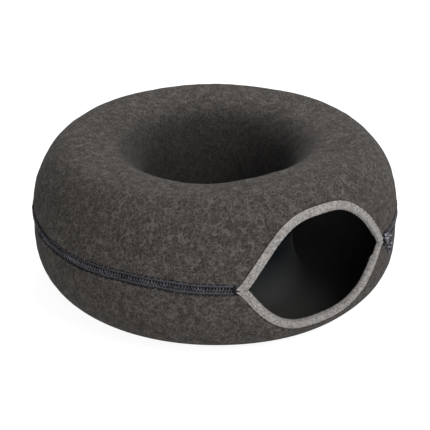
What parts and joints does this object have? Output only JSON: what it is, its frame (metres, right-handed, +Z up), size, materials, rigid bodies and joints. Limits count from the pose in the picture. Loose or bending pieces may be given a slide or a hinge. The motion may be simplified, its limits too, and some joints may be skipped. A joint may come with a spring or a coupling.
{
  "type": "felt ring cat tunnel",
  "caption": "Ring-shaped cat tunnel in charcoal felt, open in the middle, with a lens-shaped bound mouth and a zip round the outer waist.",
  "frame": {"origin": "centre of the bounding box on the floor; the ring's own axis stands 3.9 mm behind it, at Y -0.00386, because the mouth takes away the foremost felt", "axes": "+Z up through the well, -Y out of the mouth, +X to the mouth's right corner, where the zip slider is"},
  "size_m": [0.5032, 0.4954, 0.2157],
  "materials": {
    "felt_charcoal": "heathered charcoal felt, matt and slightly hairy",
    "zip_tape": "woven slate-grey zip tape",
    "zip_nylon": "dark nylon coil, slightly shiny",
    "slider_metal": "gunmetal, satin",
    "binding_grey": "light warm grey ribbed tape, matt"
  },
  "bodies": {
    "root": {"upper_shell": "felt_charcoal", "lower_shell": "felt_charcoal", "zip_tape_upper": "zip_tape", "zip_tape_lower": "zip_tape", "zip_coil": "zip_nylon", "zip_slider": "slider_metal", "zip_pull": "slider_metal", "mouth_binding_upper": "binding_grey", "mouth_binding_lower": "binding_grey"}
  },
  "joints": []
}
